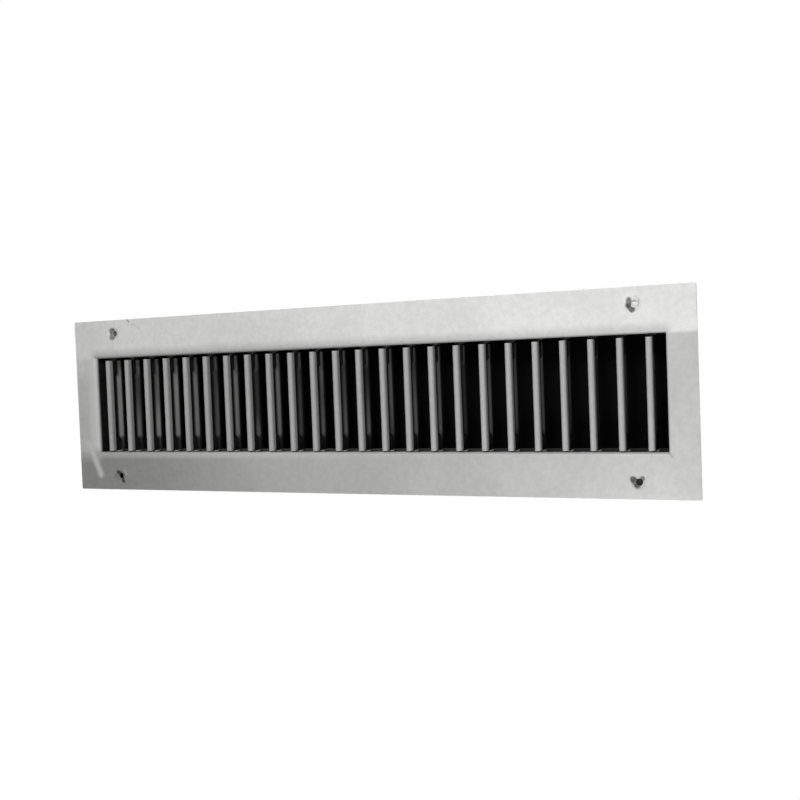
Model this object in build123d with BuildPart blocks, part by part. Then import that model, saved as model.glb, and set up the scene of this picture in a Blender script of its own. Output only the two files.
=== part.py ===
# Single deflection duct grille: a frame of four formed sheet pieces, and a row of upright
# blades that each turn on their own pair of pins in plastic bushes.
#
# X runs along the grille, Z is up and the face looks along -Y. The origin lies in the rear
# face of the flange, where the grille seats on the duct, at the centre of the screw holes.

import os

from build123d import *

os.makedirs("parts", exist_ok=True)

# Opening and flange
blade_count = 24
blade_pitch = 19.05
end_allowance = 1.5
opening_height = 76.2
rail_border = 30.4
stile_border = 20.0
flange_corner_radius = 1.0

# Formed sheet of the frame
sheet = 1.2
inner_bend = 1.4
neck_depth = 30.0

# Lapped tabs that close the corners of the neck, each held by two spot welds
tab_reach = 14.0
tab_width = 18.0
tab_setback = 6.0
weld_mark_radius = 2.0
weld_mark_depth = 0.2
weld_spacing = 9.0

# Dimpled screw holes
screw_spacing_x = 421.0
screw_spacing_z = 115.0
screw_hole_radius = 2.4
dimple_radius = 5.2
dimple_depth = 1.6
dimple_rim = 0.5

# Blades, each folded from one strip with a hollow rolled nose
blade_chord = 19.05
nose_setback = 0.4
nose_width = 4.3
nose_length = 6.4
leaf = 0.6
nose_root_radius = 0.8
upper_blade_gap = 2.2

# Pivot pins, clasped between the leaves of the blade
pin_radius = 1.6
pin_grip = 9.0
pin_grip_clearance = 0.02
pin_overhang = 0.5
pocket_length = 10.0
pocket_runout = 2.5
pocket_slope = 35.0

# Bushes in the neck of the rails
bush_head_radius = 3.4
bush_head_height = 0.8
bush_barrel_radius = 2.5
bush_barrel_tail = 0.8
bush_bore_clearance = 0.05
bush_seat_clearance = 0.03
thrust_clearance = 0.1

# Sizes that follow
opening_length = blade_count * blade_pitch + 2 * end_allowance
flange_length = opening_length + 2 * stile_border
flange_height = opening_height + 2 * rail_border
outer_bend = inner_bend + sheet
half_opening = opening_height / 2
neck_side = opening_length / 2 + sheet

nose_front = -sheet + nose_setback
pivot_depth = nose_front + blade_chord / 2
first_blade = -blade_pitch * (blade_count - 1) / 2
blade_places = [first_blade + number * blade_pitch for number in range(blade_count)]

blade_bottom = -half_opening + bush_head_height + thrust_clearance
blade_top = half_opening - upper_blade_gap
pin_end = half_opening + sheet + bush_barrel_tail + pin_overhang


def frame_shell():
    """The whole frame in one piece: flange, neck and the bend that joins them."""
    with BuildPart(mode=Mode.PRIVATE) as shell:
        with BuildSketch(Plane.XZ):
            RectangleRounded(flange_length, flange_height, flange_corner_radius)
        extrude(amount=sheet)
        with BuildSketch(Plane.XZ):
            Rectangle(2 * neck_side, opening_height + 2 * sheet)
        extrude(amount=-neck_depth)
        with BuildSketch(Plane.XZ.offset(sheet)):
            Rectangle(opening_length, opening_height)
        extrude(amount=-(sheet + neck_depth), mode=Mode.SUBTRACT)
        seat = shell.faces().filter_by(Axis.Y).sort_by(Axis.Y)[1]
        fillet(seat.inner_wires()[0].edges(), inner_bend)
        front = shell.faces().filter_by(Axis.Y).sort_by(Axis.Y)[0]
        fillet(front.inner_wires()[0].edges(), outer_bend)
    return shell.part


def screw_places(side):
    """Planes on the front of the flange at the two screw holes of one rail."""
    height = side * screw_spacing_z / 2
    return [
        Plane(origin=(end * screw_spacing_x / 2, -sheet, height), z_dir=(0, 1, 0))
        for end in (-1, 1)
    ]


def dimple_screw_holes(side):
    """Press two conical dimples into the flange and pierce their centres."""
    slope = (dimple_radius - screw_hole_radius) / dimple_depth
    from_front = (Align.CENTER, Align.CENTER, Align.MIN)
    with Locations(*screw_places(side)):
        Cone(
            dimple_radius + sheet * slope,
            screw_hole_radius + dimple_rim,
            sheet + dimple_depth,
            align=from_front,
        )
        Cone(dimple_radius, screw_hole_radius, dimple_depth, align=from_front, mode=Mode.SUBTRACT)
        Cylinder(screw_hole_radius, sheet + dimple_depth, align=from_front, mode=Mode.SUBTRACT)


def pierce_bush_holes(side):
    """Pierce the neck of a rail for one bush per blade."""
    with BuildSketch(Plane.XY.offset(side * half_opening)) as holes:
        with Locations(*[(place, pivot_depth) for place in blade_places]):
            Circle(bush_barrel_radius + bush_seat_clearance)
    extrude(holes.sketch, amount=side * sheet, mode=Mode.SUBTRACT)


def fold_corner_tabs(side):
    """Fold a tab at each end of a rail's neck down the outside of the stile."""
    fold = side * (half_opening + sheet)
    tip = side * (half_opening - tab_reach)
    for end in (-1, 1):
        with BuildSketch(Plane.XZ.offset(-tab_setback)) as tab:
            with Locations((end * (neck_side + sheet / 2), (fold + tip) / 2)):
                Rectangle(sheet, abs(fold - tip))
            outer_corner = tab.vertices().sort_by_distance((0, 0))[-1]
            fillet(outer_corner, sheet)
        extrude(tab.sketch, amount=-tab_width)


def press_weld_marks(side):
    """Leave the shallow round marks of two spot welds on the outside of each tab."""
    depth = tab_setback + tab_width / 2
    height = side * (half_opening - tab_reach / 2)
    for end in (-1, 1):
        outside = Plane(
            origin=(end * (neck_side + sheet), depth, height),
            x_dir=(0, 1, 0),
            z_dir=(end, 0, 0),
        )
        with BuildSketch(outside) as marks:
            with GridLocations(weld_spacing, 0, 2, 1):
                Circle(weld_mark_radius)
        extrude(marks.sketch, amount=-weld_mark_depth, mode=Mode.SUBTRACT)


def rail(side):
    """A full-length rail: the upper one for side 1 and the lower one for side -1."""
    with BuildPart(mode=Mode.PRIVATE) as formed:
        add(frame_shell())
        keep = Keep.TOP if side > 0 else Keep.BOTTOM
        split(bisect_by=Plane.XY.offset(side * half_opening), keep=keep)
        fold_corner_tabs(side)
        press_weld_marks(side)
        dimple_screw_holes(side)
        pierce_bush_holes(side)
    return formed.part


def stile(side):
    """A stile that closes one end of the opening between the two rails."""
    with BuildPart(mode=Mode.PRIVATE) as formed:
        add(frame_shell())
        split(bisect_by=Plane.XY.offset(half_opening), keep=Keep.BOTTOM)
        split(bisect_by=Plane.XY.offset(-half_opening), keep=Keep.TOP)
        split(bisect_by=Plane.YZ, keep=Keep.TOP if side > 0 else Keep.BOTTOM)
    return formed.part


def nose_outline(inset, mode=Mode.ADD):
    """The rolled nose, drawn in by an inset, with its front on the blade's leading edge."""
    with Locations((0, -blade_chord / 2 + nose_length / 2)):
        SlotOverall(nose_length - 2 * inset, nose_width - 2 * inset, rotation=90, mode=mode)


# Frame
with BuildPart() as top_rail:
    add(rail(1))
top_rail.part.label = "top_rail"
export_step(top_rail.part, "parts/top_rail.step")

with BuildPart() as bottom_rail:
    add(rail(-1))
bottom_rail.part.label = "bottom_rail"
export_step(bottom_rail.part, "parts/bottom_rail.step")

with BuildPart() as left_stile:
    add(stile(-1))
left_stile.part.label = "left_stile"
export_step(left_stile.part, "parts/left_stile.step")

with BuildPart() as right_stile:
    add(stile(1))
right_stile.part.label = "right_stile"
export_step(right_stile.part, "parts/right_stile.step")


def bushes(side):
    """One flanged bush per blade, its head inside the neck and its barrel through it."""
    flange_plane = Plane.XY.offset(side * half_opening)
    places = [(place, pivot_depth) for place in blade_places]
    barrel_length = sheet + bush_barrel_tail
    with BuildPart(mode=Mode.PRIVATE) as group:
        with BuildSketch(flange_plane):
            with Locations(*places):
                Circle(bush_head_radius)
        extrude(amount=-side * bush_head_height)
        with BuildSketch(flange_plane):
            with Locations(*places):
                Circle(bush_barrel_radius)
        extrude(amount=side * barrel_length)
        with BuildSketch(flange_plane.offset(-side * bush_head_height)):
            with Locations(*places):
                Circle(pin_radius + bush_bore_clearance)
        extrude(amount=side * (bush_head_height + barrel_length), mode=Mode.SUBTRACT)
    return group.part


with BuildPart() as upper_bushes:
    add(bushes(1))
upper_bushes.part.label = "upper_bushes"
export_step(upper_bushes.part, "parts/upper_bushes.step")

with BuildPart() as lower_bushes:
    add(bushes(-1))
lower_bushes.part.label = "lower_bushes"
export_step(lower_bushes.part, "parts/lower_bushes.step")

# Blades and their pins
for number, place in enumerate(blade_places, start=1):
    pivot = Plane(origin=(place, pivot_depth, 0))
    foot = pivot.offset(blade_bottom)
    head = pivot.offset(blade_top)

    with BuildPart() as blade:
        with BuildSketch(foot) as section:
            nose_outline(0)
            nose_back = -blade_chord / 2 + nose_length - nose_width / 2
            with Locations((0, (nose_back + blade_chord / 2) / 2)):
                Rectangle(2 * leaf, blade_chord / 2 - nose_back)
            fillet(section.vertices().group_by(Axis.Y)[-2], nose_root_radius)
            nose_outline(leaf, mode=Mode.SUBTRACT)
        extrude(amount=blade_top - blade_bottom)
        for end, inward in ((foot, 1), (head, -1)):
            with BuildSketch(end):
                Circle(pin_radius + leaf)
            extrude(amount=inward * pocket_length)
            with BuildSketch(end.offset(inward * pocket_length)):
                Circle(pin_radius + leaf)
            extrude(amount=inward * pocket_runout, taper=pocket_slope)
            with BuildSketch(end):
                Circle(pin_radius + pin_grip_clearance)
            extrude(amount=inward * pin_grip, mode=Mode.SUBTRACT)
    name = f"blade_{number:02d}"
    blade.part.label = name
    export_step(blade.part, f"parts/{name}.step")

    with BuildPart() as pins:
        with BuildSketch(foot.offset(pin_grip)):
            Circle(pin_radius)
        extrude(amount=-(pin_end + blade_bottom + pin_grip))
        with BuildSketch(head.offset(-pin_grip)):
            Circle(pin_radius)
        extrude(amount=pin_end - blade_top + pin_grip)
    name = f"pivot_pins_{number:02d}"
    pins.part.label = name
    export_step(pins.part, f"parts/{name}.step")
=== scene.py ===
import math

import bpy
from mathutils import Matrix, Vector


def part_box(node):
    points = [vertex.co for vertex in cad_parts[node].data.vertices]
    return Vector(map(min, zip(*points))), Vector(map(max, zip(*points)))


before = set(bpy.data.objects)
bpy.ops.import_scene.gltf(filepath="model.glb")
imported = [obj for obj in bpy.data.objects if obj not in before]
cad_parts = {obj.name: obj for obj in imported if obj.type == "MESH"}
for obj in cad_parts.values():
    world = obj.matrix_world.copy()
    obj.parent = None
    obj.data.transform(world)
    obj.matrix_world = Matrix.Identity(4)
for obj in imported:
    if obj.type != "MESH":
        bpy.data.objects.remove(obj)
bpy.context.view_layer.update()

# Sizes of the grille that the marks, seams and stage follow, in metres.
MM = 0.001
HALF_OPENING = 38.1 * MM
HALF_LENGTH = 230.1 * MM
SCREW_SPACING_X = 421.0 * MM
SCREW_SPACING_Z = 115.0 * MM
FRAME_NODES = ("top_rail", "bottom_rail", "left_stile", "right_stile")

# Viewpoint of the photograph, found by fitting a camera to its corners, bars and holes.
CAMERA_LOCATION = (0.3688, -0.6915, 0.0261)
CAMERA_ROTATION_DEGREES = (87.968, 2.214, 25.199)
CAMERA_LENS = 48.53
CAMERA_SENSOR = 36.0

# Lamps: a soft box in front and above, a small one near the lower right corner, and one behind.
# Each has its place, its target, its size, its power in watts and its spread in degrees.
LAMPS = {
    "key": ((0.15, -1.05, 0.66), (0.05, 0.0, 0.30), 0.30, 5.6, 130.0),
    "low": ((0.20, -0.20, -0.20), (0.20, 0.0, -0.06), 0.10, 0.36, 170.0),
    "rear": ((-0.60, 1.00, 0.55), (0.0, 0.0, 0.0), 0.60, 5.0, 180.0),
}
AMBIENT_STRENGTH = 0.12
WHITE = (1.0, 1.0, 1.0, 1.0)

# Floor: well below the grille, which hangs free in the photograph.
FLOOR_HEIGHT = -0.60
FLOOR_HALF_SIZE = 4.0
FLOOR_FADE_START = 0.42
FLOOR_FADE_END = 0.66
FLOOR_WHITE_SHARE = 0.55
FLOOR_COLOUR = (0.86, 0.86, 0.86, 1.0)
FLOOR_ROUGHNESS = (0.6, 0.7)

# Dark card behind the neck, and a patch behind each screw hole: side in x, side in z, shade.
# The card is painted shade in place of the unlit duct; the patches are painted shade seen through
# the holes, and the one at the upper right is painted light.
CARD_SETBACK = 0.5 * MM
CARD_OVERLAP = 0.8 * MM
CARD_SHADE = 0.004
PATCH_HALF = 6.0 * MM
PATCH_DEPTH = 2.0 * MM
PATCHES = {
    "lower_left": (-1, -1, 0.004),
    "lower_right": (1, -1, 0.025),
    "upper_right": (1, 1, 0.75),
    "upper_left": (-1, 1, 0.12),
}

# Noises: scale per metre, detail and roughness, and the range that most of a noise lies in.
CLOUD_NOISE = (14.0, 3.0, 0.55)
MOTTLE_NOISE = (240.0, 4.0, 0.6)
SPECK_NOISE = (1500.0, 2.0, 0.7)
EDGE_NOISE = (420.0, 4.0, 0.65)
PEEL_NOISE = (620.0, 2.0, 0.5)
GRAIN_NOISE = (2600.0, 2.0, 0.6)
SHINE_NOISE = (90.0, 3.0, 0.55)
RAGGED_NOISE = (420.0, 3.0, 0.55)
INNER_SHADE_NOISE = (160.0, 3.0, 0.55)
FLANK_LIGHT_NOISE = (40.0, 2.0, 0.6)
WIRE_NOISE = (5200.0, 3.0, 0.6)
NYLON_CLOUD_NOISE = (300.0, 3.0, 0.55)
NYLON_TEXTURE_NOISE = (3800.0, 2.0, 0.6)
FLOOR_NOISE = (40.0, 3.0, 0.55)
NOISE_RANGE = (0.3, 0.7)

# Lacquer: its tones, the depth of its texture, and its worn edges.
LACQUER_WARMTH = (1.0, 0.998, 0.99)
CLOUD_RANGE = (0.35, 0.65)
CLOUD_TONES = (0.955, 1.04)
MOTTLE_TONES = (0.95, 1.045)
SPECK_TONES = (0.965, 1.03)
LACQUER_ROUGHNESS = (0.37, 0.48)
LACQUER_SPECULAR = 0.5
PEEL_SHARE = 0.7
GRAIN_SHARE = 0.3
PEEL_STRENGTH = 0.12
PEEL_DEPTH = 0.05 * MM
EDGE_RADIUS = 0.9 * MM
EDGE_SAMPLES = 4
EDGE_STARTS = 0.985
EDGE_FULL = 0.88
EDGE_BROKEN_RANGE = (0.45, 0.6)
EDGE_WEAR = 0.55
EDGE_LIGHTER = 1.25

# Tones of the frame, which change within TONE_BLEND of the seams, and of the blades. The top rail's
# lighter tone is painted light and the lower rail's darker tone is painted shade.
TOP_TONE = 0.72
STILE_TONE = 0.48
BOTTOM_TONE = 0.42
TONE_BLEND = 1.3 * MM
BLADE_TONE = 0.38

# The left stile is painted lighter than the right one, most of all towards its top: painted light.
LEFT_STILE_TONE = 0.52
LEFT_STILE_TOP_TONE = 0.63
LEFT_STILE_STARTS = -100.0 * MM
LEFT_STILE_FULL = -230.0 * MM
LEFT_STILE_LIGHT_FROM = 12.0 * MM
LEFT_STILE_LIGHT_FULL = 40.0 * MM

# The lower rail is painted darker at its left end and lighter at its right end: painted shade
# and painted light. Past the opening, the painted shade thins out towards the seam.
LOWER_LEFT_SHADE = 0.63
LOWER_LEFT_SHADE_FULL = -220.0 * MM
LOWER_LEFT_SHADE_ENDS = -70.0 * MM
SEAM_SHADE_THIN_REACH = 11.0 * MM
LOWER_RIGHT_LIGHT = 1.13
LOWER_RIGHT_LIGHT_STARTS = 140.0 * MM
LOWER_RIGHT_LIGHT_FULL = 215.0 * MM

# Around the opening: a painted highlight along the rim below and at the left, and painted shade along
# the rim above.
LOWER_RIM_HIGHLIGHT_TONE = 0.53
LOWER_RIM_HIGHLIGHT_LEFT_SHADE = 0.76
LOWER_RIM_HIGHLIGHT_NEAR = 2.6 * MM
LOWER_RIM_HIGHLIGHT_FAR = 6.4 * MM
LOWER_RIM_HIGHLIGHT_FULL = -180.0 * MM
LOWER_RIM_HIGHLIGHT_ENDS = 110.0 * MM
LEFT_RIM_HIGHLIGHT_TONE = 0.62
LEFT_RIM_HIGHLIGHT_NEAR = 3.0 * MM
LEFT_RIM_HIGHLIGHT_FAR = 12.0 * MM
RIM_FADE = 6.0 * MM
RIM_OVERLAP = 1.0 * MM
# Painted shade along the rim above the opening, darker than the rest of the top rail.
UPPER_RIM_SHADE_TONE = 0.20
UPPER_RIM_SHADE_NEAR = 0.5 * MM
UPPER_RIM_SHADE_FAR = 9.0 * MM
UPPER_RIM_SHADE_LEFT = 0.50
UPPER_RIM_SHADE_RIGHT = 0.40

# Painted shade, near-black, on the neck's inner faces, on the blades behind their noses, and on the
# pins and bushes inside the neck.
INNER_SHADE_TONE = 0.010
INNER_SHADE_EVENNESS = (0.98, 1.0)
ROUGHER_WHERE_DARK = 0.45
DULLER_WHERE_DARK = 0.46
NECK_SHADE_START = 0.6 * MM
NECK_SHADE_FULL = 3.0 * MM
NECK_END_REACH = 1.0 * MM
NECK_SIDE_REACH = MM / 3
BLADE_SHADE_START = 3.4 * MM
BLADE_SHADE_FULL = 5.2 * MM
PIVOT_SHADE_LOWER = 0.35
PIVOT_SHADE_UPPER = 0.88
PIVOT_SHADE_BLEND = 30.0 * MM

# Painted light: a lit band along a blade's flank, where the painted shade is lifted.
FLANK_LIGHT_START = 8.4 * MM
FLANK_LIGHT_FULL = 11.6 * MM
FLANK_LIGHT_FADES = 14.4 * MM
FLANK_LIGHT_ENDS = 16.8 * MM
FLANK_LIGHT_FOOT = -26.5 * MM
FLANK_LIGHT_FOOT_BLEND = 2.2 * MM
FLANK_LIGHT_BELOW_FOOT = 0.28
FLANK_LIGHT_TOP_STARTS = 16.0 * MM
FLANK_LIGHT_TOP_FULL = 30.0 * MM
FLANK_LIGHT_AT_TOP = 0.85
FLANK_LIGHT_RANGE = (0.42, 0.58)
FLANK_LIGHT_LEAST = 0.26
FLANK_LIGHT_COVER = 0.05
FLANK_LIGHT_OFFSET = (0.0, 0.0, 20.37)
FLANK_LIGHT_STRETCH = (1.0, 0.3, 0.12)
FLANK_LIGHT_TONE = 0.60
FLANK_LIGHT_RIGHT = 0.45
FLANK_LIGHT_LEFT_END = -200.0 * MM
FLANK_LIGHT_RIGHT_END = 40.0 * MM

# Marks on the flange: two ends as (x, z), half-width and softness in millimetres, and strength.
# The glint is a painted highlight, and the dark marks in the screw dimples are painted shade.
PALE_MARKS = {
    "streak": ((-240.6, -31.0), (-229.9, -56.1), 2.6, 5.0, 1.0),
    "glint": ((-206.0, -52.9), (-203.8, -56.0), 1.2, 1.2, 0.35),
}
DARK_MARKS = {
    "nick": ((-195.9, 68.6), (-194.6, 66.4), 0.8, 0.7, 0.55),
    "smudge": ((-192.0, 65.0), (-184.5, 60.5), 0.8, 0.9, 0.12),
    "corner_tick": ((230.2, -38.9), (232.4, -40.9), 0.6, 1.0, 0.3),
    "upper_left_dimple_shade": ((-212.0, 59.8), (-212.2, 54.8), 2.4, 1.8, 0.82),
    "upper_right_dimple_shade": ((207.5, 60.4), (207.0, 56.8), 1.5, 1.4, 0.85),
    "upper_right_foot": ((207.1, 56.8), (209.4, 53.8), 1.9, 1.6, 0.95),
    "upper_right_arm": ((213.8, 59.4), (213.2, 56.4), 0.9, 1.2, 0.3),
    "lower_right_dimple_shade": ((206.9, -55.6), (209.4, -59.4), 2.1, 1.5, 0.92),
    "lower_right_arm": ((209.4, -59.4), (212.9, -54.9), 1.5, 1.3, 0.82),
    "lower_left_dimple_shade": ((-212.4, -54.6), (-207.0, -61.6), 1.6, 1.3, 0.96),
    "lower_left_dimple_shade_wide": ((-212.6, -58.6), (-212.2, -58.0), 3.2, 2.0, 0.35),
}
PALE_TONE = 0.60
DARK_TONE = 0.05
RAGGED_RANGE = (0.35, 0.6)
RAGGED_COVER = (0.8, 1.0)

# How far a surface's normal leans to the front where the marks start and where they are full.
FRONT_STARTS = -0.1
FRONT_FULL = -0.3

# Drawn wire of the pins
WIRE_COLOUR = (0.56, 0.56, 0.57, 1.0)
WIRE_STRETCH = (1.0, 1.0, 0.03)
WIRE_SHADES = (0.86, 1.05)
WIRE_ROUGHNESS = (0.26, 0.4)
WIRE_BUMP = 0.15
WIRE_BUMP_DEPTH = 0.03 * MM

# Moulded nylon of the bushes
NYLON_COLOUR = (0.70, 0.685, 0.62, 1.0)
NYLON_SHADES = (0.95, 1.04)
NYLON_ROUGHNESS = (0.45, 0.58)
NYLON_BUMP = 0.2
NYLON_BUMP_DEPTH = 0.03 * MM
NYLON_SCATTER = 0.15
NYLON_SCATTER_RADII = (1.2 * MM, 1.1 * MM, 0.9 * MM)


class Graph:
    """A short way to add and join the shader nodes of one material or world."""

    # Sockets of the colour mix node
    COLOUR_A = 6
    COLOUR_B = 7
    COLOUR_RESULT = 2

    def __init__(self, owner):
        owner.use_nodes = True
        self.tree = owner.node_tree
        self.tree.nodes.clear()

    def add(self, kind, settings=None, **inputs):
        """Adds a node; an input is a constant or the output socket that feeds it."""
        node = self.tree.nodes.new(kind)
        for name, value in (settings or {}).items():
            setattr(node, name, value)
        for name, value in inputs.items():
            self.feed(node, name.replace("_", " "), value)
        return node

    def feed(self, node, name, value):
        """Feeds the input of that name or number."""
        socket = node.inputs[name]
        if isinstance(value, bpy.types.NodeSocket):
            self.tree.links.new(value, socket)
        else:
            socket.default_value = value

    def math(self, operation, first, second=0.0, third=0.0):
        node = self.add("ShaderNodeMath", {"operation": operation})
        for index, value in enumerate((first, second, third)):
            self.feed(node, index, value)
        return node.outputs[0]

    def ramp(self, value, low, high, to_low=0.0, to_high=1.0):
        """A smooth step from to_low to to_high as the value goes from low to high."""
        node = self.add("ShaderNodeMapRange", {"interpolation_type": "SMOOTHSTEP"})
        for index, entry in enumerate((value, low, high, to_low, to_high)):
            self.feed(node, index, entry)
        return node.outputs[0]

    def mix_colour(self, factor, first, second, blend="MIX"):
        node = self.add("ShaderNodeMix", {"data_type": "RGBA", "blend_type": blend}, Factor=factor)
        self.feed(node, self.COLOUR_A, first)
        self.feed(node, self.COLOUR_B, second)
        return node.outputs[self.COLOUR_RESULT]

    def mix_shader(self, factor, first, second):
        """The first shader where the factor is 0, and the second where it is 1."""
        node = self.add("ShaderNodeMixShader", Fac=factor)
        self.feed(node, 1, first.outputs[0])
        self.feed(node, 2, second.outputs[0])
        return node.outputs[0]

    def place(self):
        """The point's place in metres, in the grille's own frame."""
        return self.add("ShaderNodeTexCoord").outputs["Object"]

    def place_parts(self):
        """The point's place as three numbers: across, depth and height."""
        parts = self.add("ShaderNodeSeparateXYZ", Vector=self.place())
        return parts.outputs["X"], parts.outputs["Y"], parts.outputs["Z"]

    def stretched_place(self, scale, offset=(0.0, 0.0, 0.0)):
        node = self.add("ShaderNodeMapping", Vector=self.place(), Scale=scale, Location=offset)
        return node.outputs[0]

    def noise(self, kind, vector=None):
        scale, detail, roughness = kind
        node = self.add("ShaderNodeTexNoise", Scale=scale, Detail=detail, Roughness=roughness)
        self.feed(node, "Vector", vector or self.place())
        return node.outputs["Fac"]

    def varied(self, value, bounds):
        """A noise's usual range spread between two bounds."""
        return self.ramp(value, *NOISE_RANGE, *bounds)

    def output(self, shader, kind="ShaderNodeOutputMaterial"):
        self.add(kind, Surface=shader)


def grey(tone):
    """A lacquer colour of one tone, a touch warm."""
    return tuple(tone * part for part in LACQUER_WARMTH) + (1.0,)


def stile_colour(graph, across, height):
    """The right stile's tone, and the left one's, which is painted lighter towards its top: painted
    light.
    """
    towards_top = graph.ramp(height, LEFT_STILE_LIGHT_FROM, LEFT_STILE_LIGHT_FULL)
    left_stile = graph.mix_colour(towards_top, grey(LEFT_STILE_TONE), grey(LEFT_STILE_TOP_TONE))
    left_end = graph.ramp(across, LEFT_STILE_STARTS, LEFT_STILE_FULL)
    return graph.mix_colour(left_end, grey(STILE_TONE), left_stile)


def lower_rail_colour(graph, across, height):
    """The lower rail's tone, painted darker at its left end and lighter at its right end: painted
    shade and painted light.
    """
    past_opening = graph.ramp(across, -HALF_LENGTH + RIM_FADE, -HALF_LENGTH)
    near_seam = graph.ramp(height, -HALF_OPENING - SEAM_SHADE_THIN_REACH, -HALF_OPENING)
    thinned = graph.math("MULTIPLY", past_opening, near_seam)
    left = graph.ramp(across, LOWER_LEFT_SHADE_ENDS, LOWER_LEFT_SHADE_FULL)
    left = graph.math("MULTIPLY", left, graph.math("SUBTRACT", 1.0, thinned))
    right = graph.ramp(across, LOWER_RIGHT_LIGHT_STARTS, LOWER_RIGHT_LIGHT_FULL)
    colour = graph.mix_colour(left, grey(BOTTOM_TONE), grey(BOTTOM_TONE * LOWER_LEFT_SHADE))
    return graph.mix_colour(right, colour, grey(BOTTOM_TONE * LOWER_RIGHT_LIGHT))


def frame_colour(graph):
    """The stiles' tones between the seams, and the rails' tones above and below them: painted light
    on the top rail and painted shade on the lower one.
    """
    across, _, height = graph.place_parts()
    above = graph.ramp(height, HALF_OPENING - TONE_BLEND, HALF_OPENING + TONE_BLEND)
    below = graph.ramp(height, -HALF_OPENING + TONE_BLEND, -HALF_OPENING - TONE_BLEND)
    upper = graph.mix_colour(above, stile_colour(graph, across, height), grey(TOP_TONE))
    return graph.mix_colour(below, upper, lower_rail_colour(graph, across, height))


def blade_colour(graph):
    """One tone all over, which needs no nodes."""
    return grey(BLADE_TONE)


def faces_forward(graph):
    """1 on the surfaces that face the front, 0 on the sides and on the back."""
    normal = graph.add("ShaderNodeTexCoord").outputs["Normal"]
    parts = graph.add("ShaderNodeSeparateXYZ", Vector=normal)
    return graph.ramp(parts.outputs["Y"], FRONT_STARTS, FRONT_FULL)


def mark_mask(graph, mark):
    """How strongly a mark shows at the point: a soft-edged line between its two ends."""
    (start_x, start_z), (end_x, end_z), half_width, softness, strength = mark
    run_x = end_x - start_x
    run_z = end_z - start_z
    length = math.hypot(run_x, run_z)
    across, _, height = graph.place_parts()
    from_x = graph.math("SUBTRACT", across, start_x * MM)
    from_z = graph.math("SUBTRACT", height, start_z * MM)
    along = graph.math("MULTIPLY", from_x, run_x / length)
    along = graph.math("MULTIPLY_ADD", from_z, run_z / length, along)
    aside = graph.math("MULTIPLY", from_x, -run_z / length)
    aside = graph.math("MULTIPLY_ADD", from_z, run_x / length, aside)
    beyond = graph.math("MAXIMUM", graph.math("SUBTRACT", along, length * MM), 0.0)
    before = graph.math("MINIMUM", along, 0.0)
    past_end = graph.math("ADD", beyond, before)
    squares = graph.math("MULTIPLY", past_end, past_end)
    squares = graph.math("MULTIPLY_ADD", aside, aside, squares)
    distance = graph.math("SQRT", squares)
    outer = (half_width + softness / 2) * MM
    inner = (half_width - softness / 2) * MM
    return graph.ramp(distance, outer, inner, 0.0, strength)


def lower_rim(graph, colour, across, height, in_length):
    """The painted highlight along the rim below the opening, which fades to the right and is painted
    darker at the left.
    """
    rim = graph.ramp(height, -HALF_OPENING - LOWER_RIM_HIGHLIGHT_FAR, -HALF_OPENING - LOWER_RIM_HIGHLIGHT_NEAR)
    rim = graph.math("MULTIPLY", rim, graph.math("LESS_THAN", height, -HALF_OPENING))
    rim = graph.math("MULTIPLY", rim, graph.ramp(across, LOWER_RIM_HIGHLIGHT_ENDS, LOWER_RIM_HIGHLIGHT_FULL))
    rim = graph.math("MULTIPLY", rim, in_length)
    left_shade = graph.ramp(across, LOWER_LEFT_SHADE_ENDS, LOWER_LEFT_SHADE_FULL)
    rim_highlight = graph.mix_colour(left_shade, grey(LOWER_RIM_HIGHLIGHT_TONE), grey(LOWER_RIM_HIGHLIGHT_TONE * LOWER_RIM_HIGHLIGHT_LEFT_SHADE))
    return graph.mix_colour(rim, colour, rim_highlight)


def left_rim(graph, colour, across, in_height):
    """The painted highlight along the rim at the left of the opening."""
    rim = graph.ramp(across, -HALF_LENGTH - LEFT_RIM_HIGHLIGHT_FAR, -HALF_LENGTH - LEFT_RIM_HIGHLIGHT_NEAR)
    rim = graph.math("MULTIPLY", rim, graph.math("LESS_THAN", across, -HALF_LENGTH))
    rim = graph.math("MULTIPLY", rim, in_height)
    return graph.mix_colour(rim, colour, grey(LEFT_RIM_HIGHLIGHT_TONE))


def upper_rim(graph, colour, across, height, in_length):
    """The painted shade along the rim above the opening."""
    rim = graph.ramp(height, HALF_OPENING + UPPER_RIM_SHADE_FAR, HALF_OPENING + UPPER_RIM_SHADE_NEAR)
    rim = graph.math("MULTIPLY", rim, graph.math("GREATER_THAN", height, HALF_OPENING))
    rim = graph.math("MULTIPLY", rim, in_length)
    amount = graph.ramp(across, -HALF_LENGTH, HALF_LENGTH, UPPER_RIM_SHADE_LEFT, UPPER_RIM_SHADE_RIGHT)
    return graph.mix_colour(graph.math("MULTIPLY", rim, amount), colour, grey(UPPER_RIM_SHADE_TONE))


def rims(graph, colour, across, height):
    """The painted highlights and the painted shade that run round the opening."""
    aside = graph.math("ABSOLUTE", across)
    aloft = graph.math("ABSOLUTE", height)
    in_length = graph.ramp(aside, HALF_LENGTH + RIM_FADE, HALF_LENGTH - RIM_OVERLAP)
    in_height = graph.ramp(aloft, HALF_OPENING + RIM_OVERLAP, HALF_OPENING - RIM_FADE)
    colour = lower_rim(graph, colour, across, height, in_length)
    colour = left_rim(graph, colour, across, in_height)
    return upper_rim(graph, colour, across, height, in_length)


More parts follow.
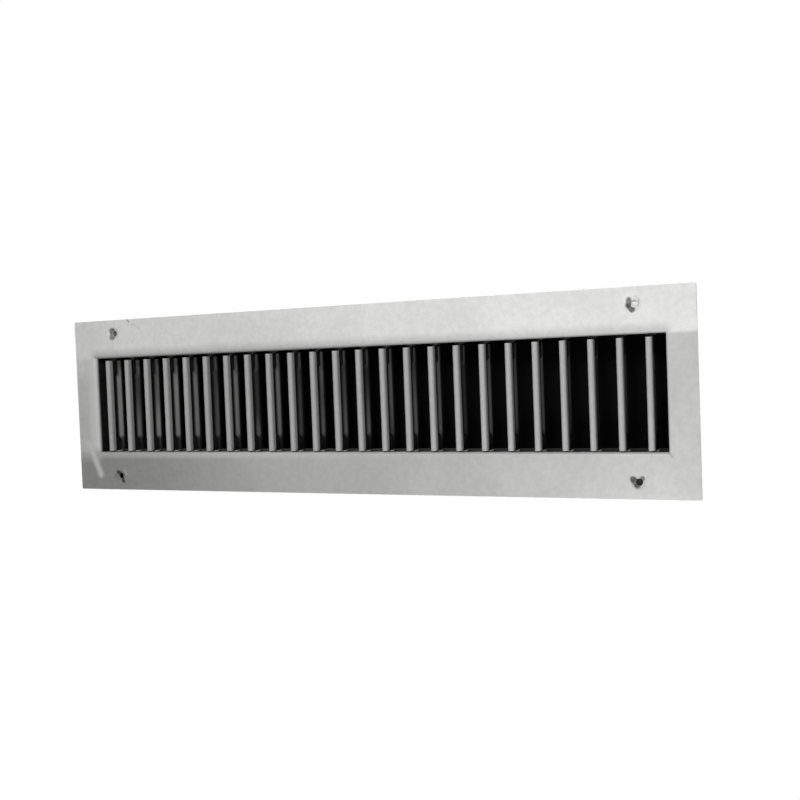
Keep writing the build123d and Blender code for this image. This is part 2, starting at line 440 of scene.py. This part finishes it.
def neck_painted_shade(graph, across, depth, height):
    """How much painted shade lies on the inner faces of the neck."""
    aside = graph.math("ABSOLUTE", across)
    aloft = graph.math("ABSOLUTE", height)
    in_length = graph.math("LESS_THAN", aside, HALF_LENGTH + NECK_END_REACH)
    in_height = graph.math("LESS_THAN", aloft, HALF_OPENING + NECK_SIDE_REACH)
    inside = graph.math("MULTIPLY", in_length, in_height)
    inner_shade = graph.math("MULTIPLY", inside, graph.ramp(depth, NECK_SHADE_START, NECK_SHADE_FULL))
    evenness = graph.varied(graph.noise(INNER_SHADE_NOISE), INNER_SHADE_EVENNESS)
    return graph.math("MULTIPLY", inner_shade, evenness)


def frame_marks(graph, colour):
    """The frame's rims of painted highlight and painted shade, its marks, some of them painted shade
    and one a painted highlight, and painted shade in the neck: its colour with them, and how dull
    they make it.
    """
    across, depth, height = graph.place_parts()
    front = faces_forward(graph)
    ragged = graph.ramp(graph.noise(RAGGED_NOISE), *RAGGED_RANGE, *RAGGED_COVER)
    on_front = graph.math("MULTIPLY", front, ragged)
    colour = graph.mix_colour(front, colour, rims(graph, colour, across, height))

    # Pale marks: a streak, and a glint that is a painted highlight.
    for mark in PALE_MARKS.values():
        pale = graph.math("MULTIPLY", mark_mask(graph, mark), on_front)
        colour = graph.mix_colour(pale, colour, grey(PALE_TONE))
    dark = 0.0
    # Dark marks: painted shade in the screw dimples, and a nick, a smudge and a tick elsewhere.
    for mark in DARK_MARKS.values():
        dark = graph.math("MAXIMUM", mark_mask(graph, mark), dark)
    grime_and_shade = graph.math("MULTIPLY", dark, on_front)
    colour = graph.mix_colour(grime_and_shade, colour, grey(DARK_TONE))

    # Painted shade on the neck's inner faces.
    inner_shade = neck_painted_shade(graph, across, depth, height)
    dullness = graph.math("MAXIMUM", inner_shade, grime_and_shade)
    return graph.mix_colour(inner_shade, colour, grey(INNER_SHADE_TONE)), dullness


def painted_flank_light(graph, across, depth, height):
    """Where and how much painted light falls on a blade's flank, as a lit band."""
    band = graph.ramp(depth, FLANK_LIGHT_START, FLANK_LIGHT_FULL)
    band = graph.math("MULTIPLY", band, graph.ramp(depth, FLANK_LIGHT_ENDS, FLANK_LIGHT_FADES))
    foot_low = FLANK_LIGHT_FOOT - FLANK_LIGHT_FOOT_BLEND
    foot_high = FLANK_LIGHT_FOOT + FLANK_LIGHT_FOOT_BLEND
    foot = graph.ramp(height, foot_low, foot_high, FLANK_LIGHT_BELOW_FOOT, 1.0)
    band = graph.math("MULTIPLY", band, foot)
    patchy = graph.noise(FLANK_LIGHT_NOISE, graph.stretched_place(FLANK_LIGHT_STRETCH, FLANK_LIGHT_OFFSET))
    uneven = graph.ramp(patchy, *FLANK_LIGHT_RANGE, FLANK_LIGHT_LEAST, 1.0)
    top = graph.ramp(height, FLANK_LIGHT_TOP_STARTS, FLANK_LIGHT_TOP_FULL, 0.0, FLANK_LIGHT_AT_TOP)
    flank_light = graph.math("MULTIPLY", band, graph.math("MAXIMUM", uneven, top))
    share = graph.ramp(across, FLANK_LIGHT_LEFT_END, FLANK_LIGHT_RIGHT_END, 1.0, FLANK_LIGHT_RIGHT)
    return graph.math("MULTIPLY", flank_light, share)


def blade_marks(graph, colour):
    """Painted shade on a blade's flanks behind the nose, with a band of painted light: its colour and
    dullness.
    """
    across, depth, height = graph.place_parts()
    behind_nose = graph.ramp(depth, BLADE_SHADE_START, BLADE_SHADE_FULL)
    flank_light = painted_flank_light(graph, across, depth, height)
    colour = graph.mix_colour(flank_light, colour, grey(FLANK_LIGHT_TONE))
    cover = graph.math("MULTIPLY_ADD", flank_light, FLANK_LIGHT_COVER - 1.0, 1.0)
    inner_shade = graph.math("MULTIPLY", behind_nose, cover)
    return graph.mix_colour(inner_shade, colour, grey(INNER_SHADE_TONE)), inner_shade


def pivot_painted_shade(graph, colour):
    """Painted shade on the parts of pins and bushes inside the neck, most of all at the top, where
    they face down.
    """
    height = graph.place_parts()[2]
    aloft = graph.math("ABSOLUTE", height)
    inside = graph.math("LESS_THAN", aloft, HALF_OPENING + NECK_SIDE_REACH)
    blend = (-PIVOT_SHADE_BLEND, PIVOT_SHADE_BLEND, PIVOT_SHADE_LOWER, PIVOT_SHADE_UPPER)
    inner_shade = graph.math("MULTIPLY", inside, graph.ramp(height, *blend))
    return graph.mix_colour(inner_shade, colour, grey(INNER_SHADE_TONE)), inner_shade


def tone_variation(graph):
    """The lacquer's clouds, mottle and specks as one factor on its tone."""
    cloud = graph.ramp(graph.noise(CLOUD_NOISE), *CLOUD_RANGE, *CLOUD_TONES)
    mottle = graph.varied(graph.noise(MOTTLE_NOISE), MOTTLE_TONES)
    speck = graph.varied(graph.noise(SPECK_NOISE), SPECK_TONES)
    return graph.math("MULTIPLY", graph.math("MULTIPLY", cloud, mottle), speck)


def edge_wear(graph):
    """How much the lacquer is worn at the point, in broken lines along the sharp edges."""
    bevel = graph.add("ShaderNodeBevel", {"samples": EDGE_SAMPLES}, Radius=EDGE_RADIUS)
    geometry = graph.add("ShaderNodeNewGeometry")
    facing = graph.add("ShaderNodeVectorMath", {"operation": "DOT_PRODUCT"})
    graph.feed(facing, 0, bevel.outputs[0])
    graph.feed(facing, 1, geometry.outputs["Normal"])
    edge = graph.ramp(facing.outputs["Value"], EDGE_STARTS, EDGE_FULL)
    broken = graph.ramp(graph.noise(EDGE_NOISE), *EDGE_BROKEN_RANGE)
    return graph.math("MULTIPLY", edge, broken)


def lacquered_sheet(name, tone, base, marks):
    """Satin lacquer on sheet: fine mottle and grain, worn edges, and the piece's own marks."""
    material = bpy.data.materials.new(name)
    graph = Graph(material)
    mottled = graph.mix_colour(1.0, base(graph), tone_variation(graph), "MULTIPLY")
    wear = graph.math("MULTIPLY", edge_wear(graph), EDGE_WEAR)
    worn = graph.mix_colour(wear, mottled, grey(tone * EDGE_LIGHTER))
    finished, dullness = marks(graph, worn)

    peel = graph.math("MULTIPLY", graph.noise(PEEL_NOISE), PEEL_SHARE)
    grain = graph.math("MULTIPLY", graph.noise(GRAIN_NOISE), GRAIN_SHARE)
    texture = graph.math("ADD", peel, grain)
    bump = graph.add("ShaderNodeBump", Strength=PEEL_STRENGTH, Distance=PEEL_DEPTH, Height=texture)
    shine = graph.varied(graph.noise(SHINE_NOISE), LACQUER_ROUGHNESS)
    specular = graph.math("MULTIPLY_ADD", dullness, -DULLER_WHERE_DARK, LACQUER_SPECULAR)
    shader = graph.add("ShaderNodeBsdfPrincipled", Base_Color=finished, Normal=bump.outputs[0])
    graph.feed(shader, "Roughness", graph.math("MULTIPLY_ADD", dullness, ROUGHER_WHERE_DARK, shine))
    graph.feed(shader, "Specular IOR Level", specular)
    graph.output(shader.outputs[0])
    return material


def drawn_wire(name):
    """Bright drawn steel wire with fine lines along its length."""
    material = bpy.data.materials.new(name)
    graph = Graph(material)
    lines = graph.noise(WIRE_NOISE, graph.stretched_place(WIRE_STRETCH))
    shade = graph.varied(lines, WIRE_SHADES)
    colour = graph.mix_colour(1.0, WIRE_COLOUR, shade, "MULTIPLY")
    # Painted shade on the parts inside the neck.
    colour, inner_shade = pivot_painted_shade(graph, colour)
    bump = graph.add("ShaderNodeBump", Strength=WIRE_BUMP, Distance=WIRE_BUMP_DEPTH, Height=lines)
    shader = graph.add("ShaderNodeBsdfPrincipled", Metallic=1.0, Base_Color=colour)
    roughness = graph.varied(lines, WIRE_ROUGHNESS)
    graph.feed(shader, "Roughness", graph.math("MULTIPLY_ADD", inner_shade, ROUGHER_WHERE_DARK, roughness))
    graph.feed(shader, "Normal", bump.outputs[0])
    graph.output(shader.outputs[0])
    return material


def moulded_nylon(name):
    """Natural-coloured nylon with a fine moulded texture."""
    material = bpy.data.materials.new(name)
    graph = Graph(material)
    cloud = graph.varied(graph.noise(NYLON_CLOUD_NOISE), NYLON_SHADES)
    colour = graph.mix_colour(1.0, NYLON_COLOUR, cloud, "MULTIPLY")
    # Painted shade on the parts inside the neck.
    colour, inner_shade = pivot_painted_shade(graph, colour)
    texture = graph.noise(NYLON_TEXTURE_NOISE)
    bump = graph.add("ShaderNodeBump", Strength=NYLON_BUMP, Distance=NYLON_BUMP_DEPTH, Height=texture)
    shader = graph.add("ShaderNodeBsdfPrincipled", Subsurface_Weight=NYLON_SCATTER, Base_Color=colour)
    graph.feed(shader, "Subsurface Radius", NYLON_SCATTER_RADII)
    roughness = graph.varied(texture, NYLON_ROUGHNESS)
    graph.feed(shader, "Roughness", graph.math("MULTIPLY_ADD", inner_shade, ROUGHER_WHERE_DARK, roughness))
    graph.feed(shader, "Normal", bump.outputs[0])
    graph.output(shader.outputs[0])
    return material


def seen_as_background(graph):
    """1 for the rays that show the background: camera, glossy and transmission rays."""
    path = graph.add("ShaderNodeLightPath")
    rays = graph.math("MAXIMUM", path.outputs["Is Camera Ray"], path.outputs["Is Glossy Ray"])
    return graph.math("MAXIMUM", rays, path.outputs["Is Transmission Ray"])


def floor_material():
    """Pale matte near the grille, where its shadow falls, fading to the white background."""
    material = bpy.data.materials.new("floor_paint")
    graph = Graph(material)
    distance = graph.add("ShaderNodeVectorMath", {"operation": "LENGTH"})
    graph.feed(distance, 0, graph.place())
    fade = (FLOOR_FADE_START, FLOOR_FADE_END, FLOOR_WHITE_SHARE, 1.0)
    away = graph.ramp(distance.outputs["Value"], *fade)
    shine = graph.varied(graph.noise(FLOOR_NOISE), FLOOR_ROUGHNESS)
    paint = graph.add("ShaderNodeBsdfPrincipled", Base_Color=FLOOR_COLOUR, Roughness=shine)
    white = graph.add("ShaderNodeEmission", Strength=1.0)
    factor = graph.math("MULTIPLY", away, seen_as_background(graph))
    graph.output(graph.mix_shader(factor, paint, white))
    return material


def dark_card_material(name, shade):
    """Its shade to background rays from the front, and clear from behind and to other light: painted
    shade that no light sees.
    """
    material = bpy.data.materials.new(name)
    graph = Graph(material)
    geometry = graph.add("ShaderNodeNewGeometry")
    front = graph.math("SUBTRACT", 1.0, geometry.outputs["Backfacing"])
    seen = graph.math("MULTIPLY", front, seen_as_background(graph))
    card = graph.add("ShaderNodeBsdfDiffuse", Color=(shade, shade, shade, 1.0))
    clear = graph.add("ShaderNodeBsdfTransparent")
    graph.output(graph.mix_shader(seen, clear, card))
    return material


def stage_sheet(name, corners, material):
    """A flat sheet of the stage with four corners."""
    mesh = bpy.data.meshes.new(name)
    mesh.from_pydata(corners, [], [tuple(range(len(corners)))])
    mesh.materials.append(material)
    item = bpy.data.objects.new(name, mesh)
    bpy.context.scene.collection.objects.link(item)
    return item


def make_floor():
    half = FLOOR_HALF_SIZE
    corners = [(-half, -half, 0.0), (half, -half, 0.0), (half, half, 0.0), (-half, half, 0.0)]
    floor = stage_sheet("floor", corners, floor_material())
    floor.location = (0.0, 0.0, FLOOR_HEIGHT)


def make_card(name, centre_x, centre_z, depth, half_x, half_z, shade):
    """An upright card that shows its shade to the front."""
    corners = [
        (centre_x - half_x, depth, centre_z - half_z),
        (centre_x + half_x, depth, centre_z - half_z),
        (centre_x + half_x, depth, centre_z + half_z),
        (centre_x - half_x, depth, centre_z + half_z),
    ]
    stage_sheet(name, corners, dark_card_material(name, shade))


def make_lamp(name, location, target, size, power, spread_degrees):
    """A square area lamp that faces a target point."""
    data = bpy.data.lights.new(name, "AREA")
    data.shape = "SQUARE"
    data.size = size
    data.energy = power
    data.spread = math.radians(spread_degrees)
    lamp = bpy.data.objects.new(name, data)
    bpy.context.scene.collection.objects.link(lamp)
    lamp.location = location
    lamp.visible_camera = False
    reach = [there - here for here, there in zip(location, target)]
    flat = math.hypot(reach[0], reach[1])
    lamp.rotation_euler = (math.atan2(flat, -reach[2]), 0.0, math.atan2(-reach[0], reach[1]))


def make_world():
    """White for the rays that show the background, and a plain soft ambient for the rest."""
    world = bpy.data.worlds.new("studio")
    bpy.context.scene.world = world
    graph = Graph(world)
    ambient = graph.add("ShaderNodeBackground", Color=WHITE, Strength=AMBIENT_STRENGTH)
    white = graph.add("ShaderNodeBackground", Color=WHITE, Strength=1.0)
    light = graph.mix_shader(seen_as_background(graph), ambient, white)
    graph.output(light, "ShaderNodeOutputWorld")


def make_camera():
    data = bpy.data.cameras.new("photo_view")
    data.lens = CAMERA_LENS
    data.sensor_width = CAMERA_SENSOR
    camera = bpy.data.objects.new("photo_view", data)
    bpy.context.scene.collection.objects.link(camera)
    camera.location = CAMERA_LOCATION
    camera.rotation_euler = [math.radians(angle) for angle in CAMERA_ROTATION_DEGREES]
    bpy.context.scene.camera = camera


def dress(node, material):
    """Gives a CAD node its finish."""
    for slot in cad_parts[node].material_slots:
        slot.material = material


# Finishes on the CAD nodes
frame_paint = lacquered_sheet("frame_paint", STILE_TONE, frame_colour, frame_marks)
blade_paint = lacquered_sheet("blade_paint", BLADE_TONE, blade_colour, blade_marks)
wire = drawn_wire("pin_wire")
nylon = moulded_nylon("bush_nylon")
for node_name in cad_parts:
    if node_name in FRAME_NODES:
        dress(node_name, frame_paint)
    elif node_name.startswith("blade_"):
        dress(node_name, blade_paint)
    elif node_name.startswith("pivot_pins_"):
        dress(node_name, wire)
    elif node_name.endswith("_bushes"):
        dress(node_name, nylon)

# Stage
make_floor()
card_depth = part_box("left_stile")[1][1] + CARD_SETBACK
card_half_x = HALF_LENGTH + CARD_OVERLAP
card_half_z = HALF_OPENING + CARD_OVERLAP
# The dark card and the patches are painted shade, and the upper right patch painted light, shown to
# background rays only.
make_card("dark_card", 0.0, 0.0, card_depth, card_half_x, card_half_z, CARD_SHADE)
for corner, (side_x, side_z, shade) in PATCHES.items():
    hole_x = side_x * SCREW_SPACING_X / 2
    hole_z = side_z * SCREW_SPACING_Z / 2
    make_card(f"{corner}_patch", hole_x, hole_z, PATCH_DEPTH, PATCH_HALF, PATCH_HALF, shade)

for lamp_name, lamp_values in LAMPS.items():
    make_lamp(lamp_name, *lamp_values)
make_world()
make_camera()

bpy.context.scene.view_settings.view_transform = "Standard"
